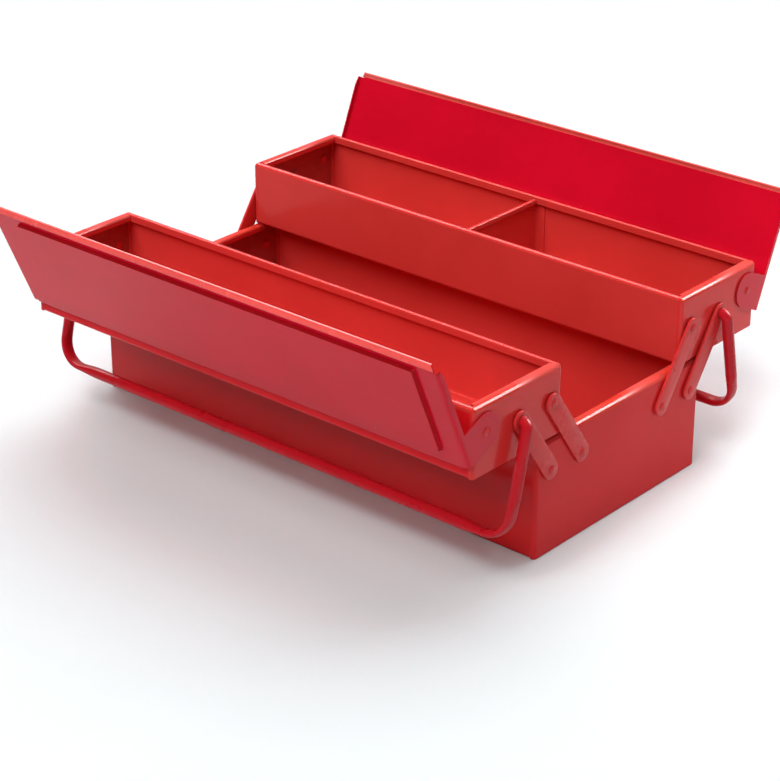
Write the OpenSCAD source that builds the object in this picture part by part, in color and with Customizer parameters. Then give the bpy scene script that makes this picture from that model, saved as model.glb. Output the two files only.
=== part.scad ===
// Cantilever tool box: a folded steel base with two trays that swing out
// on parallel links, a hinged lid on each tray and a bar handle on each side.
// +X is the right end, -Y the front, +Z up. The origin is the centre of the
// underside of the base. The model stands open, with both trays out.

/* [Base] */
// Length of the base over its end panels
body_l = 440; // [400:5:520]
// Width of the base over its long walls
body_w = 200; // [190:1:210]
// Height of the base
base_h = 92.2; // [84:0.1:100]
// Thickness of the folded steel sheet
sheet = 1.0; // [0.8:0.1:1.2]

/* [Trays] */
// Width of one tray, wall to wall
tray_w = 98.4; // [94:0.1:98.4]
// Height of one tray
tray_h = 54.2; // [50:0.1:60]
// How much each tray end stands back from the base end
tray_inset = 0.5; // [0.4:0.1:0.8]
// Width of the folded rim on the long walls
rim_w = 4.8; // [4:0.1:6]
// Width of the folded rim on the end walls
end_rim_w = 8.5; // [7:0.1:10]
// Where the divider stands along the rear tray
divider_x = 8; // [-80:1:80]

/* [Linkage] */
// Distance between the two pivots of a link
link_len = 63; // [60:0.5:66]
// Lean of the links from upright with the trays out
link_lean = 34.5; // [32:0.1:36]
// Width of a link
link_w = 15; // [13:0.5:16]
// Thickness of a link
link_t = 2; // [1.6:0.1:2.2]
// Distance of the inner base pivot from the middle of the box
pivot_a = 49.2; // [46:0.1:52]
// Distance between the inner and the outer pivot
pivot_gap = 36.5; // [32:0.1:38]
// Height of the base pivots
pivot_z = 68.6; // [64:0.1:72]
// Diameter of the rivet shanks
rivet_d = 4; // [3:0.1:4.5]
// Diameter of the rivet heads
head_d = 7; // [5.5:0.1:7]
// Height of the domed rivet heads
head_h = 1.3; // [0.6:0.05:1.35]

/* [Lids] */
// Length of a lid panel from hinge edge to free edge
lid_w = 99; // [96:0.5:101]
// Angle a lid opens through
lid_open = 113; // [105:1:114]
// Height of the lid's outer face above its pivot, lid shut
lid_rise = 24.6; // [24.4:0.1:26]
// How far the hinge edge reaches past the pivot
lid_back = 16.5; // [15:0.1:18]
// Depth of the folded end flanges
lid_flange = 5; // [4:0.1:6]
// Height of the field pressed outwards in each lid
field_h = 2.8; // [1.5:0.1:4.5]

/* [Handles] */
// Diameter of the handle tube
tube_d = 8.8; // [8:0.1:9]
// Distance from the pivot to the middle of the bar
handle_r = 86.5; // [84:0.5:88]
// Lean of the front handle, hanging
front_hang = 14; // [12:0.5:16]
// Lean of the rear handle, hanging
rear_hang = 12; // [10:0.5:16]
// Bend radius at the bar's corners, at the tube's middle
elbow_r = 20; // [14:0.5:21]

/* [Hidden] */
t = sheet;
hl = body_l / 2;
hw = body_w / 2;
tx = hl - tray_inset;               // outer face of a tray end
tray_z = base_h + 0.4;              // underside of a tray
pivot_b = pivot_a + pivot_gap;
reach = link_len * sin(link_lean);
rise = link_len * cos(link_lean);
tray_y0 = 1.3 + 2 * reach;          // inner wall, tray out
tray_y1 = tray_y0 + tray_w;         // outer wall, tray out
link_x = hl + 0.6;                  // inner face of the links
lid_y = tray_y1 - 12.4;
lid_z = tray_z + tray_h - 20.4;
leg_x = hl + 7.9;
bore_run = 0.05;                    // running clearance, radial
field_x0 = -190.5; field_x1 = 200.5;  // ends of the pressed field
field_near = 13; field_far = 91;    // its edges, from the hinge edge
bore_fix = 0.02;                    // riveted fit, radial
RED = [0.70, 0.13, 0.13];
RED2 = [0.62, 0.09, 0.11];

// ---- plane curves: rounded sheet sections ----
function unit(v) = v / norm(v);
function wrap(a) = a > 180 ? a - 360 : a < -180 ? a + 360 : a;
function corner(a, b, c, r, n) =
  let (u = unit(a - b), v = unit(c - b), h = acos(u * v) / 2,
       o = b + unit(u + v) * r / sin(h),
       p = b + u * r / tan(h) - o, q = b + v * r / tan(h) - o,
       a1 = atan2(p[1], p[0]), d = wrap(atan2(q[1], q[0]) - a1))
  [for (i = [0:n]) o + r * [cos(a1 + d * i / n), sin(a1 + d * i / n)]];
function fillets(p, r, n = 6) = [p[0],
  for (i = [1:len(p) - 2]) each corner(p[i - 1], p[i], p[i + 1], r[i - 1], n), p[len(p) - 1]];
function left(v) = [-v[1], v[0]];
function shift_path(p, d) = [for (i = [0:len(p) - 1])
  let (a = i == 0 ? unit(p[1] - p[0]) : unit(p[i] - p[i - 1]),
       b = i == len(p) - 1 ? a : unit(p[i + 1] - p[i]),
       m = unit(left(a) + left(b)))
  p[i] + m * d / (m * left(a))];
function back(p) = [for (i = [len(p) - 1:-1:0]) p[i]];
module strip(p, r, th = sheet) {
  c = fillets(p, r);
  polygon(concat(shift_path(c, th / 2), back(shift_path(c, -th / 2))));
}

// Section drawn in Y and Z, pulled along X between x0 and x1
module along_x(x0, x1) translate([x0, 0, 0]) rotate([90, 0, 90]) linear_extrude(x1 - x0) children();
// Section drawn in X and Z, pulled along Y between y0 and y1
module along_y(y0, y1) translate([0, y1, 0]) rotate([90, 0, 0]) linear_extrude(y1 - y0) children();
module pin_x(x0, x1, d) translate([x0, 0, 0]) rotate([0, 90, 0]) cylinder(h = x1 - x0, d = d, $fn = 48);
module at(y, z) translate([0, y, z]) children();
module end(s) if (s > 0) children(); else mirror([1, 0, 0]) children();
module side(s) if (s > 0) children(); else mirror([0, 1, 0]) children();

// ---- open boxes of folded sheet ----
// Long walls and floor in one folded piece, with a rim folded inward
module trough(y0, y1, z0, z1, x1, rw, lip) difference() {
  along_x(-x1 + t + 0.05, x1 - t - 0.05)
    strip([[y0 + rw - t / 2, z1 - lip], [y0 + rw - t / 2, z1 - t / 2], [y0 + t / 2, z1 - t / 2], [y0 + t / 2, z0 + t / 2],
           [y1 - t / 2, z0 + t / 2], [y1 - t / 2, z1 - t / 2], [y1 - rw + t / 2, z1 - t / 2], [y1 - rw + t / 2, z1 - lip]],
          [1.2, 1.6, 2.5, 2.5, 1.6, 1.2]);
  // room for the wrapped corners of the end panels
  for (sx = [-1, 1], y = [y0, y1]) translate([sx * x1, y, (z0 + z1) / 2])
    cube([7.1, 7.3, z1 - z0 + 2], center = true);
}
// End panel: flat wall with its two upright edges wrapped round the corners,
// and a broad rim folded inward along the top
module end_panel(y0, y1, z0, z1, x1, rw, lip, holes) difference() {
  union() {
    translate([0, 0, z0]) linear_extrude(z1 - z0 - 4)
      strip([[x1 - 3.5, y0 + t / 2], [x1 - t / 2, y0 + t / 2], [x1 - t / 2, y1 - t / 2], [x1 - 3.5, y1 - t / 2]], [2.5, 2.5]);
    for (r = [[y0, y0 + rim_w + 0.9], [y1 - rim_w - 0.9, y1]])
      intersection() {
        translate([0, 0, z1 - 4.5]) linear_extrude(4.3)
          strip([[x1 - 3.5, y0 + t / 2], [x1 - t / 2, y0 + t / 2], [x1 - t / 2, y1 - t / 2], [x1 - 3.5, y1 - t / 2]], [2.5, 2.5]);
        translate([x1 - 20, r[0], z0]) cube([30, r[1] - r[0], z1 - z0]);
      }
    along_y(y0 + rim_w + 0.8, y1 - rim_w - 0.8)
      strip([[x1 - rw + t / 2, z1 - lip], [x1 - rw + t / 2, z1 - t / 2], [x1 - t / 2, z1 - t / 2], [x1 - t / 2, z1 - 6]], [1.6, 2.4]);
  }
  for (h = holes) translate([x1 - 4, h[0], h[1]]) rotate([0, 90, 0]) cylinder(h = 8, d = h[2], $fn = 48);
}

module base_shell() color(RED) trough(-hw, hw, 0, base_h, hl, rim_w, 6);
module base_end(s) color(RED) end(s)
  end_panel(-hw, hw, 0, base_h, hl, end_rim_w, 5,
    [for (sy = [-1, 1], p = [pivot_a, pivot_b]) [sy * p, pivot_z, rivet_d + 2 * bore_fix]]);
module tray_shell(s) color(RED) side(s) trough(tray_y0, tray_y1, tray_z, tray_z + tray_h, tx, rim_w, 6);
module tray_end(s, e) color(RED) side(s) end(e)
  end_panel(tray_y0, tray_y1, tray_z, tray_z + tray_h, tx, end_rim_w, 5,
    [[pivot_a + reach, pivot_z + rise, rivet_d + 2 * bore_fix],
     [pivot_b + reach, pivot_z + rise, 7],
     [lid_y, lid_z, rivet_d + 2 * bore_fix]]);
// Divider: web with two welding tabs and a hemmed top edge
module divider() color(RED) {
  z0 = tray_z + t + 0.05; z1 = tray_z + tray_h - 1.6;
  a = tray_y0 + t + 0.05; b = tray_y1 - t - 0.05;
  difference() {
    union() {
      translate([0, 0, z0 + 1.9]) linear_extrude(z1 - z0 - 8)
        strip([[divider_x + 9, a + t / 2], [divider_x, a + t / 2], [divider_x, b - t / 2], [divider_x + 9, b - t / 2]], [1.5, 1.5]);
      translate([divider_x - t / 2, a + 2.2, z0]) cube([t, b - a - 4.4, 4]);
      translate([divider_x - t / 2, a + rim_w + 0.2, z1 - 10]) cube([t, b - a - 2 * rim_w - 0.4, 9]);
      along_y(a + rim_w + 0.2, b - rim_w - 0.2)
        strip([[divider_x + 2.6, z1 - 4], [divider_x + 2.6, z1 - t / 2], [divider_x, z1 - t / 2], [divider_x, z1 - 4]], [0.8, 0.8]);
    }
  }
}

// ---- links ----
// Flat bar with round ends and a bore at each pivot
module link_bar(y0, top_bore) color(RED2) difference() {
  union() {
    along_x(link_x, link_x + link_t) hull() {
      translate([y0, pivot_z]) circle(d = link_w, $fn = 64);
      translate([y0 + reach, pivot_z + rise]) circle(d = link_w, $fn = 64);
    }
  }
  at(y0, pivot_z) pin_x(link_x - 1, link_x + link_t + 1, rivet_d + 2 * bore_run);
  at(y0 + reach, pivot_z + rise) pin_x(link_x - 1, link_x + link_t + 1, top_bore);
}
module link_a(s, e) side(s) end(e) link_bar(pivot_a, rivet_d + 2 * bore_run);
module link_b(s, e) side(s) end(e) link_bar(pivot_b, pin_d + 2 * bore_run);

// ---- rivets and washers ----
pin_d = 6;
// Rivet along X through a wall whose inner face is at x0, domed head beyond x1:
// one turned outline, shank, peened end and domed head together
module rivet(x0, x1) {
  hr = head_d / 2; dome = head_h; edge = 0.25;
  br = (hr * hr + (dome - edge) * (dome - edge)) / (2 * (dome - edge));
  rotate([0, 90, 0]) rotate_extrude($fn = 48) polygon(concat(
    [[0, x0 - 0.9], [hr - 0.5, x0 - 0.9], [hr - 0.2, x0 - 0.6], [hr - 0.2, x0 - 0.04], [rivet_d / 2, x0 - 0.04],
     [rivet_d / 2, x1], [hr, x1], [hr, x1 + edge]],
    [for (i = [1:6]) let (r = hr * (1 - i / 6)) [r, x1 + dome - br + sqrt(br * br - r * r)]]));
}
module washer(x0, x1, di, od) difference() {
  pin_x(x0, x1, od);
  pin_x(x0 - 1, x1 + 1, di);
}
module base_rivets() color("silver") for (sx = [-1, 1], sy = [-1, 1], p = [pivot_a, pivot_b])
  end(sx) at(sy * p, pivot_z) rivet(hl - t, link_x + link_t + 0.08);
module base_washers() color("silver") for (sx = [-1, 1], sy = [-1, 1], p = [pivot_a, pivot_b])
  end(sx) at(sy * p, pivot_z) washer(hl + 0.02, link_x - 0.04, rivet_d + 2 * bore_fix, 9);
module tray_rivets(s) color("silver") side(s) for (sx = [-1, 1]) end(sx) {
  at(pivot_a + reach, pivot_z + rise) rivet(tx - t, link_x + link_t + 0.08);
  at(lid_y, lid_z) rivet(tx - t, hl + 1.08);
}
module tray_washers(s) color("silver") side(s) for (sx = [-1, 1]) end(sx) {
  at(pivot_a + reach, pivot_z + rise) washer(tx + 0.02, link_x - 0.04, rivet_d + 2 * bore_fix, 9);
  at(pivot_b + reach, pivot_z + rise) washer(tx + 0.02, link_x - 0.04, 7, 11);
  at(lid_y, lid_z) washer(tx + 0.02, hl - 0.04, rivet_d + 2 * bore_fix, 9);
}

// ---- lids ----
// Drawn shut about its pivot: +Y runs to the hinge edge, +Z up
module lid_shut() {
  yh = lid_back; yf = lid_back - lid_w; zm = lid_rise - t / 2;
  difference() {
    union() {
      along_x(-hl + 3, hl - 3)
        strip([[yh - 3.4, zm - 2.7], [yh - t / 2, zm - 2.7], [yh - t / 2, zm], [yf + 4.4, zm], [yf + 0.4, zm - 1.85]], [1.2, 1.2, 2]);
      for (e = [-1, 1]) end(e) {
        along_y(yf + 4.6, yh)
          strip([[hl - 8, zm], [hl + 0.5, zm], [hl + 0.5, lid_rise - lid_flange]], [1.6]);
        translate([hl, -14, 0]) cube([1, 28, lid_rise - 1.6]);
        pin_x(hl, hl + 1, 28);
      }
      // field pressed outwards in the middle of the panel
      translate([field_x0, yh - field_far, lid_rise - t / 2]) cube([field_x1 - field_x0, field_far - field_near, field_h + t / 2]);
    }
    translate([field_x0 + t, yh - field_far + t, lid_rise - 2 * t])
      cube([field_x1 - field_x0 - 2 * t, field_far - field_near - 2 * t, field_h + t]);
    for (e = [-1, 1]) end(e) {
      pin_x(hl - 2, hl + 3, rivet_d + 2 * bore_run);
      // slanted corner between the end flange and the free edge
      translate([hl + 2, yf + 4.5, lid_rise - 8]) rotate([45, 0, 0]) cube([10, 5, 5], center = true);
    }
  }
}
module lid(s) color(RED) side(s) translate([0, lid_y, lid_z]) rotate([-lid_open, 0, 0]) lid_shut();

// ---- handles ----
// Hanging straight down from its pivot: legs, bar and turned-in pins
module bail() {
  z1 = -handle_r;
  for (e = [-1, 1]) end(e) {
    pin_x(hl - 3.7, leg_x - 4.8, pin_d);
    translate([leg_x - 5, 0, -5]) rotate([90, 0, 0])
      rotate_extrude(angle = 90, $fn = 72) translate([5, 0]) circle(d = tube_d, $fn = 40);
    translate([leg_x, 0, z1 + elbow_r]) cylinder(h = handle_r - elbow_r - 5, d = tube_d, $fn = 40);
    translate([leg_x - elbow_r, 0, z1 + elbow_r]) rotate([90, 0, 0]) rotate([0, 0, -90])
      rotate_extrude(angle = 90, $fn = 96) translate([elbow_r, 0]) circle(d = tube_d, $fn = 40);
  }
  translate([0, 0, z1]) pin_x(-leg_x + elbow_r, leg_x - elbow_r, tube_d);
}
module handle(s, hang) color(RED2) side(s)
  translate([0, pivot_b + reach, pivot_z + rise]) rotate([hang, 0, 0]) bail();
module retainers(s) color("silver") side(s) for (sx = [-1, 1]) end(sx)
  at(pivot_b + reach, pivot_z + rise) washer(tx - t - 1.6, tx - t - 0.6, pin_d + 2 * bore_fix, 11);

base_shell();
base_end(-1);  // base_end_left
base_end(1);  // base_end_right
base_rivets();  // base_pivot_rivets
base_washers();  // base_link_washers
link_a(-1, -1);  // front_link_a_left
link_a(-1, 1);  // front_link_a_right
link_b(-1, -1);  // front_link_b_left
link_b(-1, 1);  // front_link_b_right
tray_shell(-1);  // front_tray_shell
tray_end(-1, -1);  // front_tray_end_left
tray_end(-1, 1);  // front_tray_end_right
tray_rivets(-1);  // front_tray_rivets
tray_washers(-1);  // front_tray_washers
lid(-1);  // front_lid
handle(-1, front_hang);  // front_handle
retainers(-1);  // front_handle_retainers
link_a(1, -1);  // rear_link_a_left
link_a(1, 1);  // rear_link_a_right
link_b(1, -1);  // rear_link_b_left
link_b(1, 1);  // rear_link_b_right
tray_shell(1);  // rear_tray_shell
tray_end(1, -1);  // rear_tray_end_left
tray_end(1, 1);  // rear_tray_end_right
divider();  // rear_divider
tray_rivets(1);  // rear_tray_rivets
tray_washers(1);  // rear_tray_washers
lid(1);  // rear_lid
handle(1, rear_hang);  // rear_handle
retainers(1);  // rear_handle_retainers
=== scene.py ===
import bpy, bmesh, math
from mathutils import Vector, Matrix, geometry


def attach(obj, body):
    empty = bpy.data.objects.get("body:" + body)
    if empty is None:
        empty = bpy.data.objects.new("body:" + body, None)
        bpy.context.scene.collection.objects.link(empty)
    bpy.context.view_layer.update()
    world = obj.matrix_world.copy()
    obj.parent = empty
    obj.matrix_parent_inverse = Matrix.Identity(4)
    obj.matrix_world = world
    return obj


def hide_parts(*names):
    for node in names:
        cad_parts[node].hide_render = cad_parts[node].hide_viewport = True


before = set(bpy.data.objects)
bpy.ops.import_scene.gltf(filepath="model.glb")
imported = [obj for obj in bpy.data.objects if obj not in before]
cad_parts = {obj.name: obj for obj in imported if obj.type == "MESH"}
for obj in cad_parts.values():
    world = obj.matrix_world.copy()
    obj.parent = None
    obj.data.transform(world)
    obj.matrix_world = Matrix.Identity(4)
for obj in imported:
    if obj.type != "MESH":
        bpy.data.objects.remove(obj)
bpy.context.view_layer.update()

sc = bpy.context.scene
sc.view_settings.view_transform = "Standard"
sc.view_settings.look = "None"
# the studio white is exposed just past the paper
sc.view_settings.use_curve_mapping = True
cm = sc.view_settings.curve_mapping
for x, y in ((0.60, 0.60), (0.84, 1.0)):
    cm.curves[3].points.new(x, y)
for pt in cm.curves[3].points: pt.handle_type = "VECTOR"
cm.update()

# ------------------------------------------------------------------ camera
cam_d = bpy.data.cameras.new("camera")
cam_d.sensor_fit = "HORIZONTAL"
cam_d.sensor_width = 36.0
cam_d.lens = 2415.73 / 780 * 36.0
cam_d.clip_end = 50
cam = bpy.data.objects.new("camera", cam_d)
sc.collection.objects.link(cam)
tgt = Vector((0.12138, -0.14347, 0.120))
az, el, dist = math.radians(49.0), math.radians(25.81), 1.70533
away = Vector((math.cos(el) * math.cos(az), -math.cos(el) * math.sin(az), math.sin(el)))
cam.location = tgt + away * dist
cam.rotation_euler = (-away).to_track_quat("-Z", "Y").to_euler()
sc.camera = cam

# ------------------------------------------------------------------ materials
def new_mat(name):
    m = bpy.data.materials.new(name)
    m.use_nodes = True
    nt = m.node_tree
    return m, nt, nt.nodes["Principled BSDF"]

def enamel(name, col, rough=0.17, spread=0.05, wave=0.35, peel=0.06, ior=1.46, spec=0.32, dull=None):
    """Gloss enamel sprayed on folded sheet: faint drift in tone, orange peel,
    a slow waviness of the sheet, and a softer gloss where hands rub it."""
    m, nt, b = new_mat(name)
    N, L = nt.nodes, nt.links
    tc = N.new("ShaderNodeTexCoord")
    tone = N.new("ShaderNodeTexNoise"); tone.inputs["Scale"].default_value = 11.0; tone.inputs["Detail"].default_value = 4.0
    L.new(tc.outputs["Object"], tone.inputs["Vector"])
    ramp = N.new("ShaderNodeValToRGB")
    ramp.color_ramp.elements[0].position = 0.32; ramp.color_ramp.elements[1].position = 0.68
    ramp.color_ramp.elements[0].color = (col[0] * (1 - spread), col[1] * (1 - 2 * spread), col[2] * (1 - 2 * spread), 1)
    ramp.color_ramp.elements[1].color = (min(1, col[0] * (1 + spread)), col[1] * (1 + 2 * spread), col[2] * (1 + 2 * spread), 1)
    L.new(tone.outputs["Fac"], ramp.inputs["Fac"])
    L.new(ramp.outputs["Color"], b.inputs["Base Color"])
    rub = N.new("ShaderNodeTexNoise"); rub.inputs["Scale"].default_value = 26.0; rub.inputs["Detail"].default_value = 6.0; rub.inputs["Roughness"].default_value = 0.6
    L.new(tc.outputs["Object"], rub.inputs["Vector"])
    mr = N.new("ShaderNodeMapRange")
    mr.inputs["From Min"].default_value = 0.35; mr.inputs["From Max"].default_value = 0.7
    mr.inputs["To Min"].default_value = rough * 0.85; mr.inputs["To Max"].default_value = rough * 1.25
    L.new(rub.outputs["Fac"], mr.inputs["Value"])
    if dull:
        # the gloss goes dull toward one end of the piece
        sx = N.new("ShaderNodeSeparateXYZ"); L.new(tc.outputs["Generated"], sx.inputs["Vector"])
        fd = N.new("ShaderNodeMapRange"); fd.interpolation_type = "SMOOTHSTEP"
        fd.inputs["From Min"].default_value, fd.inputs["From Max"].default_value = dull[:2]
        fd.inputs["To Min"].default_value, fd.inputs["To Max"].default_value = 0.0, dull[2]
        L.new(sx.outputs["Y"], fd.inputs["Value"])
        ad = N.new("ShaderNodeMath"); ad.operation = "ADD"
        L.new(mr.outputs["Result"], ad.inputs[0]); L.new(fd.outputs["Result"], ad.inputs[1])
        L.new(ad.outputs["Value"], b.inputs["Roughness"])
    else:
        L.new(mr.outputs["Result"], b.inputs["Roughness"])
    b.inputs["IOR"].default_value = ior
    b.inputs["Specular IOR Level"].default_value = spec
    w = N.new("ShaderNodeTexNoise"); w.inputs["Scale"].default_value = 14.0; w.inputs["Detail"].default_value = 1.0
    L.new(tc.outputs["Object"], w.inputs["Vector"])
    p = N.new("ShaderNodeTexNoise"); p.inputs["Scale"].default_value = 700.0; p.inputs["Detail"].default_value = 2.0
    L.new(tc.outputs["Object"], p.inputs["Vector"])
    b1 = N.new("ShaderNodeBump"); b1.inputs["Strength"].default_value = wave; b1.inputs["Distance"].default_value = 0.001
    L.new(w.outputs["Fac"], b1.inputs["Height"])
    b2 = N.new("ShaderNodeBump"); b2.inputs["Strength"].default_value = peel; b2.inputs["Distance"].default_value = 0.0001
    L.new(p.outputs["Fac"], b2.inputs["Height"]); L.new(b1.outputs["Normal"], b2.inputs["Normal"])
    L.new(b2.outputs["Normal"], b.inputs["Normal"])
    return m

RED = enamel("red_enamel", (0.70, 0.030, 0.028), spec=0.27)
BODY = enamel("body_enamel", (0.67, 0.046, 0.040), spec=0.12)
BASE_END = enamel("base_end_enamel", (0.66, 0.020, 0.022), spec=0.13)
# painted shade: a darker copy of the body enamel on the base's outer walls, for the shade under the overhanging trays
BASE_OUTER_PAINTED_SHADE = enamel("base_outer_wall_painted_shade", (0.64, 0.012, 0.015), spec=0.26)
RIM = enamel("rim_enamel", (0.66, 0.036, 0.022), spec=0.22, dull=(0.40, 0.80, 0.62))
RIM_BASE = enamel("base_rim_enamel", (0.66, 0.036, 0.020), spec=0.22, dull=(0.46, 0.72, 0.68))
CRIMSON = enamel("lid_enamel", (0.65, 0.0035, 0.022), spec=0.27)
# painted shade: dark, glossless copies of the lid enamel on the step walls round the raised field, the hem ends and the
# ear edges, for the shade there
STEP_PAINTED_SHADE = enamel("lid_step_painted_shade", (0.27, 0.004, 0.007), rough=0.5, wave=0.0, spec=0.0)
ENDS_PAINTED_SHADE = enamel("lid_ends_painted_shade", (0.48, 0.014, 0.020), rough=0.5, wave=0.0, spec=0.0)
# painted highlight: the hem along the free edge is coloured lighter and pinker, the inner side more so, for the
# highlight it catches
HEM_PAINTED_HIGHLIGHT = enamel("lid_hem_painted_highlight", (0.80, 0.085, 0.075), rough=0.26, wave=0.0)
HEM_IN_PAINTED_HIGHLIGHT = enamel("lid_hem_inside_painted_highlight", (0.95, 0.135, 0.115), rough=0.26, wave=0.0)
# painted shade: a dark copy of the enamel on the rear lid's outermost hem strip, where the front lid carries the
# painted highlight
EDGE_PAINTED_SHADE = enamel("lid_edge_painted_shade", (0.36, 0.045, 0.042), rough=0.4, wave=0.0, spec=0.1)
# painted light: a copy of the enamel toned to how the trays' outer wall below the lid is lit, crimson with no floor
# reflection in it
STRIP_PAINTED_LIGHT = enamel("tray_outer_strip_painted_light", (0.72, 0.012, 0.020), spec=0.10)
# painted shade: the inside faces of the end walls, and the retainers on them, are darker and browner for the shade
# inside the boxes
INNER_PAINTED_SHADE = enamel("inner_wall_painted_shade", (0.44, 0.050, 0.040), rough=0.3, spec=0.10)
# painted shade: a dark, matte patch on the base's end-wall rims between the links, where the rim shows no highlight
RIM_PAINTED_SHADE = enamel("base_rim_painted_shade", (0.42, 0.020, 0.020), rough=0.6, spec=0.0)
LINKRED = enamel("link_enamel", (0.66, 0.030, 0.030), rough=0.30, wave=0.1, peel=0.02)
HANDLE = enamel("handle_enamel", (0.50, 0.008, 0.016), rough=0.30, wave=0.05, spec=0.22)
RIVET = enamel("rivet_enamel", (0.60, 0.022, 0.024), rough=0.24, wave=0.0)

def zinc():
    m, nt, b = new_mat("bright_steel")
    N, L = nt.nodes, nt.links
    tc = N.new("ShaderNodeTexCoord")
    n = N.new("ShaderNodeTexNoise"); n.inputs["Scale"].default_value = 300.0; n.inputs["Detail"].default_value = 4.0
    L.new(tc.outputs["Object"], n.inputs["Vector"])
    r = N.new("ShaderNodeValToRGB")
    r.color_ramp.elements[0].color = (0.42, 0.42, 0.44, 1); r.color_ramp.elements[1].color = (0.62, 0.62, 0.62, 1)
    L.new(n.outputs["Fac"], r.inputs["Fac"]); L.new(r.outputs["Color"], b.inputs["Base Color"])
    mr = N.new("ShaderNodeMapRange"); mr.inputs["To Min"].default_value = 0.28; mr.inputs["To Max"].default_value = 0.48
    L.new(n.outputs["Fac"], mr.inputs["Value"]); L.new(mr.outputs["Result"], b.inputs["Roughness"])
    b.inputs["Metallic"].default_value = 1.0
    return m
STEEL = zinc()

# ------------------------------------------------------------------ sizes, mm
T = 1.0
BL, BW, BH = 220.0, 100.0, 92.2
TX = 219.5
TZ = BH + 0.4
REACH = 63 * math.sin(math.radians(34.5)); RISE = 63 * math.cos(math.radians(34.5))
TY0 = 1.3 + 2 * REACH
TY1 = TY0 + 98.4
TH = 54.2
PA, PB, PZ = 49.2, 85.7, 68.6
LY, LZ = TY1 - 12.4, TZ + TH - 20.4
LEG = 227.9
BEND = 2.8          # outer radius of the long rims
BEND_END = 4.0      # and of the end rims

# ------------------------------------------------------------------ mesh helpers
def arc(cx, cy, r, a0, a1, n):
    return [(cx + r * math.cos(math.radians(a0 + (a1 - a0) * i / n)), cy + r * math.sin(math.radians(a0 + (a1 - a0) * i / n))) for i in range(n + 1)]

def fillets(p, r, n=8):
    out = [p[0]]
    for i in range(1, len(p) - 1):
        a, b, c = (Vector(p[i - 1]), Vector(p[i]), Vector(p[i + 1]))
        u, v = (a - b).normalized(), (c - b).normalized()
        h = math.acos(max(-1, min(1, u.dot(v)))) / 2
        rr = r[i - 1]
        o = b + (u + v).normalized() * (rr / math.sin(h))
        s, e = b + u * (rr / math.tan(h)) - o, b + v * (rr / math.tan(h)) - o
        a1 = math.atan2(s.y, s.x); d = math.atan2(e.y, e.x) - a1
        while d > math.pi: d -= 2 * math.pi
        while d < -math.pi: d += 2 * math.pi
        out += [(o.x + rr * math.cos(a1 + d * k / n), o.y + rr * math.sin(a1 + d * k / n)) for k in range(n + 1)]
    out.append(p[-1])
    return out

def offset(p, d):
    out = []
    for i in range(len(p)):
        a = Vector(p[i]) - Vector(p[i - 1]) if i else Vector(p[1]) - Vector(p[0])
        b = Vector(p[i + 1]) - Vector(p[i]) if i < len(p) - 1 else a
        a.normalize(); b.normalize()
        la, lb = Vector((-a.y, a.x)), Vector((-b.y, b.x))
        m = (la + lb).normalized()
        k = d / max(0.2, m.dot(la))
        out.append((p[i][0] + m.x * k, p[i][1] + m.y * k))
    return out

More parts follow.
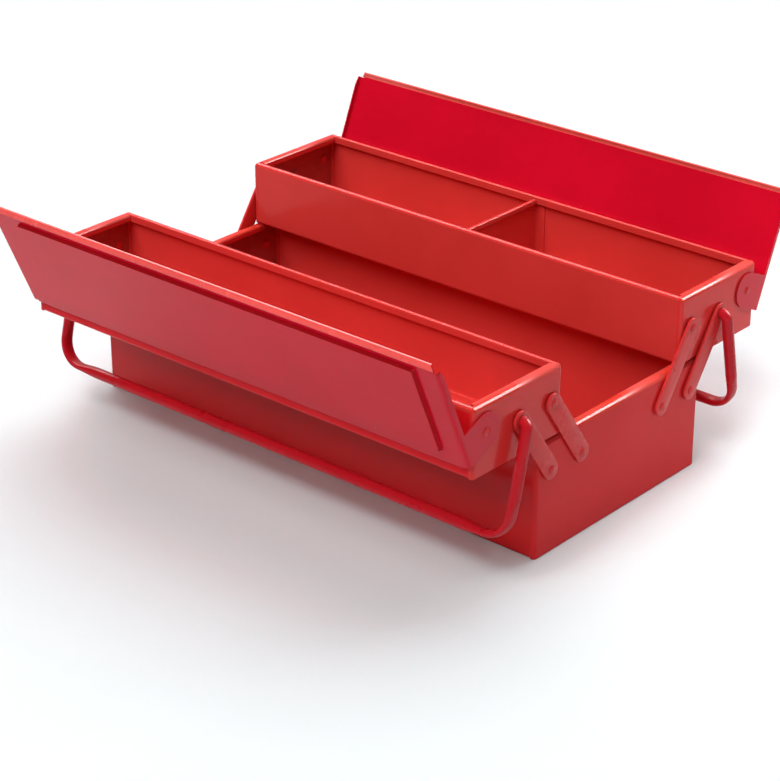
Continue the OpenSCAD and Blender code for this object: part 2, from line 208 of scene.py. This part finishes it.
class Build:
    """Collects closed solids, in millimetres, into one mesh."""
    def __init__(self):
        self.bm = bmesh.new()
    def sweep(self, A, B, creases=True):
        """A, B: the two skins of a sheet as rings of points, paired. Closed on all sides."""
        bm = self.bm
        VA = [[bm.verts.new(Vector(p) * 0.001) for p in ring] for ring in A]
        VB = [[bm.verts.new(Vector(p) * 0.001) for p in ring] for ring in B]
        K, N = len(A), len(A[0])
        def f(*v):
            try: bm.faces.new(v)
            except ValueError: pass
        for k in range(K - 1):
            for i in range(N - 1):
                f(VA[k][i], VA[k][i + 1], VA[k + 1][i + 1], VA[k + 1][i])
                f(VB[k][i], VB[k + 1][i], VB[k + 1][i + 1], VB[k][i + 1])
            f(VA[k][0], VA[k + 1][0], VB[k + 1][0], VB[k][0])
            f(VA[k][-1], VB[k][-1], VB[k + 1][-1], VA[k + 1][-1])
        for i in range(N - 1):
            f(VA[0][i], VB[0][i], VB[0][i + 1], VA[0][i + 1])
            f(VA[-1][i], VA[-1][i + 1], VB[-1][i + 1], VB[-1][i])
    def grid(self, A, B, on, open_edge=None):
        """Two skins of one sheet over a grid of rows j and columns i. on(j, i) says which cells
        exist; a wall closes every border, unless open_edge(j, i, side) leaves it for a joint."""
        bm = self.bm
        J, I = len(A) - 1, len(A[0]) - 1
        seen = {}
        def v(s, p):
            if (s, p) not in seen: seen[(s, p)] = bm.verts.new(Vector((A, B)[s][p[0]][p[1]]) * 0.001)
            return seen[(s, p)]
        def f(*q):
            try: bm.faces.new(q)
            except ValueError: pass
        for j in range(J):
            for i in range(I):
                if not on(j, i): continue
                c = ((j, i), (j, i + 1), (j + 1, i + 1), (j + 1, i))
                f(*[v(0, p) for p in c]); f(*[v(1, p) for p in reversed(c)])
                for k, (nj, ni) in enumerate(((j - 1, i), (j, i + 1), (j + 1, i), (j, i - 1))):
                    if 0 <= nj < J and 0 <= ni < I and on(nj, ni): continue
                    if open_edge and open_edge(j, i, k): continue
                    p, q = c[k], c[(k + 1) % 4]
                    f(v(0, p), v(1, p), v(1, q), v(0, q))
    def tube(self, rings):
        """Rings of points round a path, closed at both ends."""
        bm = self.bm
        V = [[bm.verts.new(Vector(p) * 0.001) for p in r] for r in rings]
        n = len(V[0])
        for k in range(len(V) - 1):
            for i in range(n):
                bm.faces.new((V[k][i], V[k][(i + 1) % n], V[k + 1][(i + 1) % n], V[k + 1][i]))
        bm.faces.new(V[0][::-1]); bm.faces.new(V[-1])
    def plate(self, outline, holes, place, thick, joint=None):
        """Flat plate with round holes. place maps (u, v, w) to X, Y, Z; w runs 0 to thick.
        Along v = joint its edge is left open, to join the sheet it grows out of."""
        bm = self.bm
        loops = [outline] + [[(cx + r * math.cos(2 * math.pi * i / 32), cy + r * math.sin(2 * math.pi * i / 32)) for i in range(32)] for cx, cy, r in holes]
        pts, edges = [], []
        for lp in loops:
            n0 = len(pts)
            pts += [Vector((p[0], p[1])) for p in lp]
            edges += [(n0 + i, n0 + (i + 1) % len(lp)) for i in range(len(lp))]
        vs, _, tris = geometry.delaunay_2d_cdt(pts, edges, [], 1, 1e-7)[:3]
        def inside(t):
            x, y = sum(vs[i].x for i in t) / 3, sum(vs[i].y for i in t) / 3
            return all(math.hypot(x - cx, y - cy) > r * 0.98 for cx, cy, r in holes)
        tris = [t for t in tris if inside(t)]
        lo = [bm.verts.new(Vector(place(v.x, v.y, 0)) * 0.001) for v in vs]
        hi = [bm.verts.new(Vector(place(v.x, v.y, thick)) * 0.001) for v in vs]
        used = {}
        for t in tris:
            for f in (bm.faces.new([hi[i] for i in t]), bm.faces.new([lo[i] for i in reversed(t)])): f.tag = True
            for k in range(3):
                e = (t[k], t[(k + 1) % 3])
                used[tuple(sorted(e))] = None if tuple(sorted(e)) in used else e
        for e in used.values():
            if e is None: continue
            if joint is not None and abs(vs[e[0]].y - joint) < 1e-5 and abs(vs[e[1]].y - joint) < 1e-5: continue
            bm.faces.new((lo[e[0]], lo[e[1]], hi[e[1]], hi[e[0]]))
    def box(self, lo, hi):
        vs = [self.bm.verts.new(Vector((x, y, z)) * 0.001) for x in (lo[0], hi[0]) for y in (lo[1], hi[1]) for z in (lo[2], hi[2])]
        for q in ((0, 1, 3, 2), (4, 6, 7, 5), (0, 4, 5, 1), (2, 3, 7, 6), (0, 2, 6, 4), (1, 5, 7, 3)):
            self.bm.faces.new([vs[i] for i in q])
    def done(self, name, mat, body, replaces=(), flip=(1, 1), edge=0.25, smooth=32, segments=2, bores=()):
        bm = self.bm
        bmesh.ops.remove_doubles(bm, verts=bm.verts, dist=1e-7)
        bmesh.ops.dissolve_degenerate(bm, edges=bm.edges, dist=1e-7)
        for v in bm.verts: v.co.x *= flip[0]; v.co.y *= flip[1]
        bmesh.ops.recalc_face_normals(bm, faces=bm.faces)
        for f in bm.faces: f.smooth = not f.tag
        me = bpy.data.meshes.new(name); bm.to_mesh(me); bm.free()
        me.set_sharp_from_angle(angle=math.radians(smooth))
        o = bpy.data.objects.new(name, me); sc.collection.objects.link(o)
        for m in (mat if isinstance(mat, (list, tuple)) else (mat,)): me.materials.append(m)
        for x, y, z, r in bores:
            # a round hole through the sheet, along X
            cb = bmesh.new()
            bmesh.ops.create_cone(cb, cap_ends=True, segments=48, radius1=r * 0.001, radius2=r * 0.001, depth=0.012,
                                  matrix=Matrix.Translation(Vector((x * flip[0], y * flip[1], z)) * 0.001) @ Matrix.Rotation(math.pi / 2, 4, "Y"))
            cm_ = bpy.data.meshes.new("cutter"); cb.to_mesh(cm_); cb.free()
            co = bpy.data.objects.new("cutter", cm_); sc.collection.objects.link(co)
            bo = o.modifiers.new("bore", "BOOLEAN"); bo.operation = "DIFFERENCE"; bo.solver = "EXACT"; bo.object = co
            cut = bpy.data.meshes.new_from_object(o.evaluated_get(bpy.context.evaluated_depsgraph_get()))
            o.modifiers.clear(); old = o.data; o.data = cut; cut.name = name; bpy.data.meshes.remove(old)
            bpy.data.objects.remove(co); bpy.data.meshes.remove(cm_)
            cut.set_sharp_from_angle(angle=math.radians(smooth))
        if edge:
            b = o.modifiers.new("edge", "BEVEL"); b.width = edge * 0.001; b.segments = segments; b.limit_method = "ANGLE"
            b.angle_limit = math.radians(50); b.harden_normals = True; b.use_clamp_overlap = True
        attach(o, body)
        if replaces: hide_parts(*replaces)
        return o

# ------------------------------------------------------------------ folded boxes
def trough(name, y0, y1, z0, z1, x1, mat, body, node, flip=(1, 1), rim=4.8, lip=6.0, seam=24):
    """Long walls and floor of one folded sheet, rims turned in."""
    h = T / 2
    mean = fillets([(y0 + rim - h, z1 - lip), (y0 + rim - h, z1 - h), (y0 + h, z1 - h), (y0 + h, z0 + h),
                    (y1 - h, z0 + h), (y1 - h, z1 - h), (y1 - rim + h, z1 - h), (y1 - rim + h, z1 - lip)],
                   [0.95, BEND - h, 2.5, 2.5, BEND - h, 0.95])
    a, b = offset(mean, h), offset(mean, -h)
    # a seam in the outer wall, where a copy of the enamel toned to the wall's lighting takes over: painted shade on the
    # base, painted light on the trays
    k = next(i for i in range(1, len(a)) if a[i - 1][0] > y1 - 2 and a[i][0] > y1 - 2 and a[i][1] - a[i - 1][1] > 20)
    for p in (a, b): p.insert(k, (p[k - 1][0], z0 + seam))
    q = Build()
    xs = [-x1 + 3.6] + [(-x1 + 3.6) * (1 - 2 * i / 12) for i in range(1, 12)] + [x1 - 3.6]
    q.sweep([[(x, p[0], p[1]) for p in a] for x in xs], [[(x, p[0], p[1]) for p in b] for x in xs])
    for s in (-1, 1):
        xa, xb = sorted((s * (x1 - 3.6), s * (x1 - T - 0.05)))
        q.box((xa, y0 + 1.3, z0), (xb, y1 - 1.3, z0 + T))
    # outer-wall faces below the seam take the second material, the painted shade or painted light copy
    if isinstance(mat, list):
        bmesh.ops.recalc_face_normals(q.bm, faces=q.bm.faces)
        for f in q.bm.faces:
            c = f.calc_center_median() * 1000
            if f.normal.y > 0.7 and c.y > y1 - 0.4 and c.z < z0 + seam: f.material_index = 1
            elif seam > 60 and f.normal.y < -0.7 and c.y < y0 + 0.4 and c.z < z0 + seam: f.material_index = 1
    return q.done(name, mat, body, [node], flip)

def end_panel(name, y0, y1, z0, z1, x1, mat, body, node, flip=(1, 1), rim=4.8, flange=8.5, lip=5.0, painted_shade_rim=False, bores=()):
    """End wall: upright edges wrapped round the corners, top edge rolled over into a broad flange with a down-turned lip."""
    R = 3.0
    # plan path of the outer skin, with its inward direction
    path = [((x1 - 3.55, y0), (0, 1)), ]
    n = 10
    for i in range(n + 1):
        a = math.radians(-90 + 90 * i / n)
        path.append(((x1 - R + R * math.cos(a), y0 + R + R * math.sin(a)), (-math.cos(a), -math.sin(a))))
    ya, yb = y0 + rim + 0.9, y1 - rim - 0.9
    mid = [ya, ya] + [ya + (yb - ya) * i / 8 for i in range(1, 8)] + [yb, yb]
    for y in mid: path.append(((x1, y), (-1, 0)))
    for i in range(n + 1):
        a = math.radians(90 * i / n)
        path.append(((x1 - R + R * math.cos(a), y1 - R + R * math.sin(a)), (-math.cos(a), -math.sin(a))))
    path.append(((x1 - 3.55, y1), (0, -1)))
    m = n + 2
    wide = set(range(m + 1, m + len(mid) - 1))
    ri = 2.1
    def skins(r):
        arc9 = [math.radians(90 * i / 9) for i in range(1, 10)]
        hm = z0 + (z1 - z0) * 0.5
        out = [(0.5, z0), (0.0, z0 + 0.5), (0.0, hm), (0.0, z1 - r)] + [(r - r * math.cos(t), z1 - r + r * math.sin(t)) for t in arc9]
        inn = [(T, z0 + 0.05), (T, z0 + 0.5), (T, hm), (T, z1 - r)] + [(r - (r - T) * math.cos(t), z1 - r + (r - T) * math.sin(t)) for t in arc9]
        m0 = len(out)
        arc6 = [math.radians(90 * i / 7) for i in range(1, 8)]
        out += [(flange - ri, z1)] + [(flange - ri + ri * math.sin(t), z1 - ri + ri * math.cos(t)) for t in arc6] + [(flange, z1 - lip)]
        inn += [(flange - ri, z1 - T)] + [(flange - ri + (ri - T) * math.sin(t), z1 - ri + (ri - T) * math.cos(t)) for t in arc6] + [(flange - T, z1 - lip)]
        return out, inn, m0
    A, B = [], []
    last = len(path) - 1
    for k, ((px, py), (dx, dy)) in enumerate(path):
        f = min(1.0, min(k, last - k) / (n + 1.0)); f = f * f * (3 - 2 * f)
        out, inn, m0 = skins(BEND + (BEND_END - BEND) * f)
        ra, rb = [], []
        for i, ((d, z), (e, w)) in enumerate(zip(out, inn)):
            if i >= m0 and k not in wide:
                d, z = out[m0 - 1]; e, w = inn[m0 - 1]
            ra.append((px + dx * d, py + dy * d, z)); rb.append((px + dx * e, py + dy * e, w))
        A.append(ra); B.append(rb)
    q = Build(); q.sweep(A, B)
    bmesh.ops.recalc_face_normals(q.bm, faces=q.bm.faces)
    for f in q.bm.faces:
        c = f.calc_center_median() * 1000
        # inside face of the end wall: painted shade
        if f.normal.x < -0.7 and x1 - 1.6 < c.x < x1 - 0.8 and c.z < z1 - 1: f.material_index = 1
        # base rim between the links: painted shade
        elif painted_shade_rim and 72 < abs(c.y) < 94 and c.z > z1 - 4.1: f.material_index = 2
        elif f.normal.z > 0.25 and c.z > z1 - 4.1: f.material_index = 3
    return q.done(name, mat, body, [node], flip, bores=bores)

# ------------------------------------------------------------------ lids
RISEL, BACK, LIDW, FL = 24.6, 16.5, 99.0, 5.0
OPEN = math.radians(113.0)
def lid_place(x, y, z):
    """Shut lid drawn about its pivot, +Y to the hinge edge: into the open rest pose on the rear side."""
    c, s = math.cos(-OPEN), math.sin(-OPEN)
    return (x, LY + y * c - z * s, LZ + y * s + z * c)

FX0, FX1, FU0, FU1, FH = -190.5, 200.5, 13.0, 91.0, 2.8     # the field pressed outwards

def field(x, u):
    r = lambda a, b, v: min(1.0, max(0.0, (v - a) / (b - a)))
    return min(r(FX0, FX0 + 1, x), r(FX1, FX1 - 1, x), r(FU0, FU0 + 1, u), r(FU1, FU1 - 1, u))

def lid(name, mats, body, node, flip):
    """One pressed sheet: rolled hinge bead, raised field, slanted hem, end flanges with their ears.
    The inner face is drawn plain."""
    yh, yf, zm = BACK, BACK - LIDW, RISEL - T / 2
    q = Build()
    # rows from the hinge bead to the free edge
    head = fillets([(yh - 3.6, zm - 2.4), (yh - 3.2, zm - 2.9), (yh - T / 2, zm - 2.9), (yh - T / 2, zm), (yh - 2.2, zm)], [0.35, 1.35, 1.45], 6)
    us = [2.35, 2.5, 5, 8, 11, FU0, FU0 + 1, 18, 24, 30.5, 38, 46, 54, 62, 70, 79, 86, FU1 - 1, FU1, 92.2, 93.4]
    mid = [(yh - u, zm) for u in us]
    tail = fillets([(yh - 93.8, zm), (yh - 94.5, zm), (yf + 1.4, zm - 1.9), (yf + 1.4, zm - 3.0)], [1.4, 1.0], 6)
    prof = head + mid + tail
    nh, nm = len(head), len(head) + len(mid)
    a, b = offset(prof, -T / 2), offset(prof, T / 2)
    if a[nh + 5][1] < b[nh + 5][1]: a, b = b, a
    # columns: the flat, then the end flanges round their bend
    R0 = 214.6
    xs = [-R0, -212.0, -208, -202, -196, FX0, FX0 + 1, -184] + [-168 + 22 * i for i in range(0, 17)] + [192, FX1 - 1, FX1, 204, 208, 212.0, R0]
    def across(u):
        dep = FL if u < 87 else max(3.2, FL - (u - 87) * 0.3)
        fil = fillets([(R0, 0), (BL + 0.5, 0), (BL + 0.5, -(dep - T / 2))], [2.1], 8)[1:]
        return [(-p[0], p[1]) for p in reversed(fil)] + [(x, 0.0) for x in xs] + fil
    nf = len(across(10)) - len(xs) >> 1
    A, B = [], []
    for j, (y, z) in enumerate(prof):
        u = yh - y
        line = across(u if nh <= j < nm else 10)
        o1, o2 = offset(line, T / 2), offset(line, -T / 2)
        ra, rb = [], []
        for i, (x, dz) in enumerate(line):
            if nh <= j < nm:
                flat = nf <= i < nf + len(xs)
                ra.append((o1[i][0], y, zm + o1[i][1] + (FH * field(x, u) if flat else 0.0)))
                rb.append((o2[i][0], y, zm + o2[i][1]))
            else:
                # the ends of the hem are trimmed on a slant
                w = x
                if j >= nm and abs(abs(x) - R0) < 1e-6: w = math.copysign(R0 + 3.2 * max(0.0, min(1.0, (98.2 - u) / 3.0)), x)
                ra.append((w, a[j][0], a[j][1])); rb.append((w, b[j][0], b[j][1]))
        A.append(ra); B.append(rb)
    i0, i1 = nf, nf + len(xs) - 1
    ear = [k for k in range(nh, nm) if 2.5 - 1e-6 <= yh - prof[k][0] <= 30.5 + 1e-6]
    def on(j, i):
        if nh <= j < nm - 1: return True
        if j < nh: return i0 <= i < i1
        return i0 <= i < i1
    last = len(A[0]) - 2
    def open_edge(j, i, side):
        return ear[0] <= j < ear[-1] and ((i == 0 and side == 3) or (i == last and side == 1))
    q.grid(A, B, on, open_edge)
    # ears that carry the pivots grow out of the end flanges
    zj = RISEL - FL
    rr = 14.0
    for e in (-1, 1):
        out = [(rr * math.cos(math.radians(-180 + 180 * i / 36)), rr * math.sin(math.radians(-180 + 180 * i / 36))) for i in range(37)]
        out += [(prof[k][0], zj) for k in ear]
        q.plate(out, [(0, 0, 2.05)], (lambda u, v, w, e=e: (e * (BL + w), u, v)), T, joint=zj)
    bmesh.ops.recalc_face_normals(q.bm, faces=q.bm.faces)
    for f in q.bm.faces:
        c, n = f.calc_center_median() * 1000, f.normal
        u = yh - c.y
        # step walls of the raised field, then the hem ends and the ear edges: painted shade
        if c.z > RISEL + 0.05 and abs(n.z) < 0.6: f.material_index = 1 if abs(n.y) > abs(n.x) else 2
        elif u > 92.5 and abs(c.x) > R0 - 0.5 and (abs(n.x) > 0.6 or n.y < -0.6): f.material_index = 2
        elif c.z < zj - 0.5 and abs(c.x) > BL - 0.5 and abs(n.x) < 0.4: f.material_index = 2
        # outermost strip of the hem: painted shade on the rear lid, painted highlight on the front lid
        elif u > 97.6: f.material_index = 5
        # the rest of the hem: painted highlight
        elif u > 94.1: f.material_index = 3 if n.z > 0 else 4
    for v in q.bm.verts:
        v.co = Vector(lid_place(v.co.x * 1000, v.co.y * 1000, v.co.z * 1000)) * 0.001
    return q.done(name, mats, body, [node], flip, edge=0.22)

# ------------------------------------------------------------------ links, handles, divider
def link(name, y0, top_r, mat, body, node, flip):
    """Flat bar with round ends and softened edges, a hole at each pivot."""
    q = Build(); bm = q.bm
    x0 = BL + 0.6
    ang = math.degrees(math.atan2(RISE, REACH))
    p1, p2 = (y0, PZ), (y0 + REACH, PZ + RISE)
    def loops(d):
        rim = lambda p, r: [(p[0] + r * math.cos(2 * math.pi * i / 32), p[1] + r * math.sin(2 * math.pi * i / 32)) for i in range(32)]
        return [arc(p1[0], p1[1], 7.5 - d, ang + 90, ang + 270, 28) + arc(p2[0], p2[1], 7.5 - d, ang - 90, ang + 90, 28),
                rim(p1, 2.05 + d), rim(p2, top_r + d)]
    prof = [(0.30, 0.0), (0.09, 0.09), (0.0, 0.30), (0.0, 1.70), (0.09, 1.91), (0.30, 2.0)]
    rings = [[[bm.verts.new(Vector((x0 + w, u, v)) * 0.001) for u, v in lp] for lp in loops(d)] for d, w in prof]
    for ra, rb in zip(rings, rings[1:]):
        for a, b in zip(ra, rb):
            for i in range(len(a)):
                k = (i + 1) % len(a); bm.faces.new((a[i], a[k], b[k], b[i]))
    flat = loops(0.30)
    pts, edges = [], []
    for lp in flat:
        n0 = len(pts); pts += [Vector(p) for p in lp]; edges += [(n0 + i, n0 + (i + 1) % len(lp)) for i in range(len(lp))]
    tris = geometry.delaunay_2d_cdt(pts, edges, [], 1, 1e-7)[2]
    for ring, turn in ((rings[-1], 1), (rings[0], -1)):
        vs = [v for lp in ring for v in lp]
        for t in tris:
            x, y = sum(pts[i].x for i in t) / 3, sum(pts[i].y for i in t) / 3
            if math.hypot(x - p1[0], y - p1[1]) < 2.3 or math.hypot(x - p2[0], y - p2[1]) < top_r + 0.28: continue
            f = bm.faces.new([vs[i] for i in t][::turn]); f.tag = True
    return q.done(name, mat, body, [node], flip, edge=0)

def handle(name, hang, mat, body, node, flip):
    """Tube with turned-in pins, tight top bends and flattened lower bends."""
    H = math.radians(hang); ch, sh = math.cos(H), math.sin(H)
    py, pz = PB + REACH, PZ + RISE
    R = 86.5; er = 20.0; tr = 5.0
    # path in the plane of the handle: (x, v), v down is negative; with tangent angle
    half = []
    half.append((BL - 3.7, 0, 0.0, 3.0)); half.append((BL + 0.4, 0, 0.0, 3.0)); half.append((LEG - tr - 0.25, 0, 0.0, 3.0)); half.append((LEG - tr - 0.2, 0, 0.0, 3.6)); half.append((LEG - tr, 0, 0.0, 4.3))
    for i in range(1, 10):
        a = math.radians(90 * i / 10); half.append((LEG - tr + tr * math.sin(a), -tr + tr * math.cos(a), -a, 4.4))
    half.append((LEG, -tr, -math.pi / 2, 4.4))
    top, bot = -tr, -R + er
    for i in range(1, 12):
        half.append((LEG, top + (bot - top) * i / 12, -math.pi / 2, 4.4))
    half.append((LEG, bot, -math.pi / 2, 4.4))
    for i in range(1, 18):
        a = math.radians(90 * i / 18); half.append((LEG - er + er * math.cos(a), bot - er * math.sin(a), -math.pi / 2 - a, 4.4))
    half.append((LEG - er, -R, -math.pi, 4.4))
    for d in (2, 5, 8, 11, 14, 17, 20, 24, 30, 45, 70, 100, 140, 180):
        half.append((LEG - er - d, -R, -math.pi, 4.4))
    full = half + [(0.0, -R, -math.pi, 4.4)] + [(-x, v, math.pi - t if False else -math.pi - (t + math.pi) , r) for x, v, t, r in reversed(half)]
    rings = []
    n = 28
    for (x, v, t, r) in full:
        # flattening: strongest in the bend, fading out along leg and bar
        sx = abs(x)
        if v < bot + 12 and sx > LEG - er - 20:
            if v >= bot: k = max(0, 1 - (v - bot) / 12)
            elif sx <= LEG - er: k = max(0, 1 - (LEG - er - sx) / 19)
            else: k = 1.0
            k = k * k * (3 - 2 * k)
        else: k = 0.0
        ain = r + (2.55 - r) * k if r > 4 else r       # in the plane of the bend
        bout = r + (5.15 - r) * k if r > 4 else r      # across it
        cx, cv = math.cos(t), math.sin(t)
        nx, nv = -cv, cx
        # an inward shift of the middle is computed but not applied
        sh_in = 0.55 * k
        ox, ov = x - math.copysign(1, x) * 0.0, v
        ring = []
        for i in range(n):
            a = 2 * math.pi * i / n
            # soft-cornered oval where squashed
            e = 1.0 - 0.28 * k
            ca = math.copysign(abs(math.cos(a)) ** e, math.cos(a)); sa = math.copysign(abs(math.sin(a)) ** e, math.sin(a))
            lx = ox + nx * ain * ca; lv = ov + nv * ain * ca; ly = bout * sa
            # lean about the pivot
            ring.append((lx, py + ly * ch - lv * sh, pz + ly * sh + lv * ch))
        rings.append(ring)
    q = Build(); q.tube(rings)
    return q.done(name, mat, body, [node], flip, edge=0.4, smooth=40)

def divider(name, mat, body, node):
    z0, z1 = TZ + T + 0.05, TZ + TH - 1.6
    a, b = TY0 + T + 0.05, TY1 - T - 0.05
    X = 8.0
    q = Build()
    pl = fillets([(X + 9, a + T / 2), (X, a + T / 2), (X, b - T / 2), (X + 9, b - T / 2)], [1.5, 1.5], 6)
    o1, o2 = offset(pl, T / 2), offset(pl, -T / 2)
    zs = [z0 + 1.9, (z0 + z1) / 2, z1 - 6.1]
    q.sweep([[(p[0], p[1], z) for p in o1] for z in zs], [[(p[0], p[1], z) for p in o2] for z in zs])
    q.box((X - T / 2, a + 2.2, z0), (X + T / 2, b - 2.2, z0 + 1.9))
    pr = fillets([(X + 2.6, z1 - 4), (X + 2.6, z1 - T / 2), (X, z1 - T / 2), (X, z1 - 6.1)], [0.8, 0.8], 6)
    o1, o2 = offset(pr, T / 2), offset(pr, -T / 2)
    ys = [a + 5.0, (a + b) / 2, b - 5.0]
    q.sweep([[(p[0], y, p[1]) for p in o1] for y in ys], [[(p[0], y, p[1]) for p in o2] for y in ys])
    return q.done(name, mat, body, [node])

# ------------------------------------------------------------------ the pieces
trough("base_body", -BW, BW, 0, BH, BL, [BODY, BASE_OUTER_PAINTED_SHADE], "base", "base_shell", seam=88)
for e, en in ((-1, "left"), (1, "right")):
    end_panel("base_wall_" + en, -BW, BW, 0, BH, BL, [BASE_END, INNER_PAINTED_SHADE, RIM_PAINTED_SHADE, RIM_BASE], "base", "base_end_" + en, (e, 1), painted_shade_rim=True)
for s, sn, hang in ((-1, "front", 14), (1, "rear", 12)):
    tray = sn + "_tray"
    trough(tray + "_body", TY0, TY1, TZ, TZ + TH, TX, [BODY, STRIP_PAINTED_LIGHT], tray, tray + "_shell", (1, s), seam=50)
    for e, en in ((-1, "left"), (1, "right")):
        end_panel(tray + "_wall_" + en, TY0, TY1, TZ, TZ + TH, TX, [RED, INNER_PAINTED_SHADE, RIM_PAINTED_SHADE, RIM], tray, tray + "_end_" + en, (e, s),
                  bores=[(TX, PB + REACH, PZ + RISE, 3.5)])
        link(sn + "_inner_arm_" + en, PA, 2.05, LINKRED, sn + "_link_a", sn + "_link_a_" + en, (e, s))
        link(sn + "_outer_arm_" + en, PB, 3.05, LINKRED, sn + "_link_b", sn + "_link_b_" + en, (e, s))
    lid(sn + "_lid_panel", [CRIMSON, STEP_PAINTED_SHADE, ENDS_PAINTED_SHADE, HEM_PAINTED_HIGHLIGHT, HEM_IN_PAINTED_HIGHLIGHT, HEM_PAINTED_HIGHLIGHT if s < 0 else EDGE_PAINTED_SHADE], sn + "_lid", sn + "_lid", (1, s))
    handle(sn + "_bar_handle", hang, HANDLE, sn + "_handle", sn + "_handle", (1, s))
divider("rear_tray_partition", BODY, "rear_tray", "rear_divider")

# CAD nodes that show as they are: rivets, washers, retainers; the retainers take the painted shade of the inner walls
# so they blend in
for n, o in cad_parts.items():
    if "rivets" in n: mt = RIVET
    elif "retainers" in n: mt = INNER_PAINTED_SHADE
    elif "washers" in n: mt = STEEL
    else: continue
    o.data.materials.clear()
    o.data.materials.append(mt)

# ------------------------------------------------------------------ floor and light
def floor_mat():
    m, nt, b = new_mat("floor_white")
    b.inputs["Base Color"].default_value = (0.64, 0.672, 0.681, 1)
    b.inputs["Roughness"].default_value = 1.0
    b.inputs["Specular IOR Level"].default_value = 0.0
    return m
me = bpy.data.meshes.new("floor")
me.from_pydata([(-12, -12, 0), (12, -12, 0), (12, 12, 0), (-12, 12, 0)], [], [(0, 1, 2, 3)])
floor = bpy.data.objects.new("floor", me); sc.collection.objects.link(floor); floor.location.z = -0.0002
floor.data.materials.append(floor_mat())

def sun(name, d, angle, strength, gloss_only=False, no_gloss=False, col=(1, 1, 1)):
    d = Vector(d).normalized()
    l = bpy.data.lights.new(name, "SUN")
    l.angle = math.radians(angle); l.energy = strength; l.color = col
    o = bpy.data.objects.new(name, l); sc.collection.objects.link(o)
    o.rotation_euler = (-d).to_track_quat("-Z", "Y").to_euler()
    o.location = d * 3
    if gloss_only: o.visible_diffuse = False
    if no_gloss: o.visible_glossy = False
    return o
sun("key", (-0.34, 0.46, 0.82), 66, 2.0, no_gloss=True)
sun("side", (0.88, 0.30, 0.36), 60, 0.15, no_gloss=True)
sun("key_gloss", (0.36, 0.69, 0.63), 38, 9.0, gloss_only=True)
sun("top_gloss", (-0.52, 0.20, 0.80), 36, 5.0, gloss_only=True)
sun("rim_gloss", (-0.59, 0.68, 0.435), 40, 0.25, gloss_only=True)
sun("front", (0.05, -0.56, 0.83), 44, 2.6, no_gloss=True)
# a soft spot fills the floor behind the right end
sp = bpy.data.lights.new("fill_right", "SPOT"); sp.energy = 16; sp.spot_size = math.radians(44); sp.spot_blend = 1.0; sp.shadow_soft_size = 0.15
so = bpy.data.objects.new("fill_right", sp); sc.collection.objects.link(so)
so.location = (0.46, 0.78, 0.48); so.rotation_euler = (Vector((0.19, 0.24, 0)) - so.location).to_track_quat("-Z", "Y").to_euler()
so.visible_glossy = False
w = bpy.data.worlds.new("world"); sc.world = w
w.use_nodes = True
nt = w.node_tree; N, L = nt.nodes, nt.links
bg = N["Background"]
tc = N.new("ShaderNodeTexCoord"); sep = N.new("ShaderNodeSeparateXYZ")
L.new(tc.outputs["Generated"], sep.inputs["Vector"])
rp = N.new("ShaderNodeValToRGB")
els = rp.color_ramp.elements
els[0].position = 0.0; els[0].color = (0.0, 0.0, 0.0, 1)
els[1].position = 0.75; els[1].color = (1, 1, 1, 1)
for pos, v in ((0.22, 0.02), (0.42, 0.45)):
    x = els.new(pos); x.color = (v, v, v, 1)
L.new(sep.outputs["Z"], rp.inputs["Fac"])
L.new(rp.outputs["Color"], bg.inputs["Color"])
bg.inputs["Strength"].default_value = 0.12
# past the floor's edge the studio is paper white too
bw = N.new("ShaderNodeBackground"); bw.inputs["Color"].default_value = (1, 1, 1, 1); bw.inputs["Strength"].default_value = 0.95
lp = N.new("ShaderNodeLightPath"); mx = N.new("ShaderNodeMixShader")
L.new(lp.outputs["Is Camera Ray"], mx.inputs[0]); L.new(bg.outputs["Background"], mx.inputs[1]); L.new(bw.outputs["Background"], mx.inputs[2])
L.new(mx.outputs["Shader"], N["World Output"].inputs["Surface"])
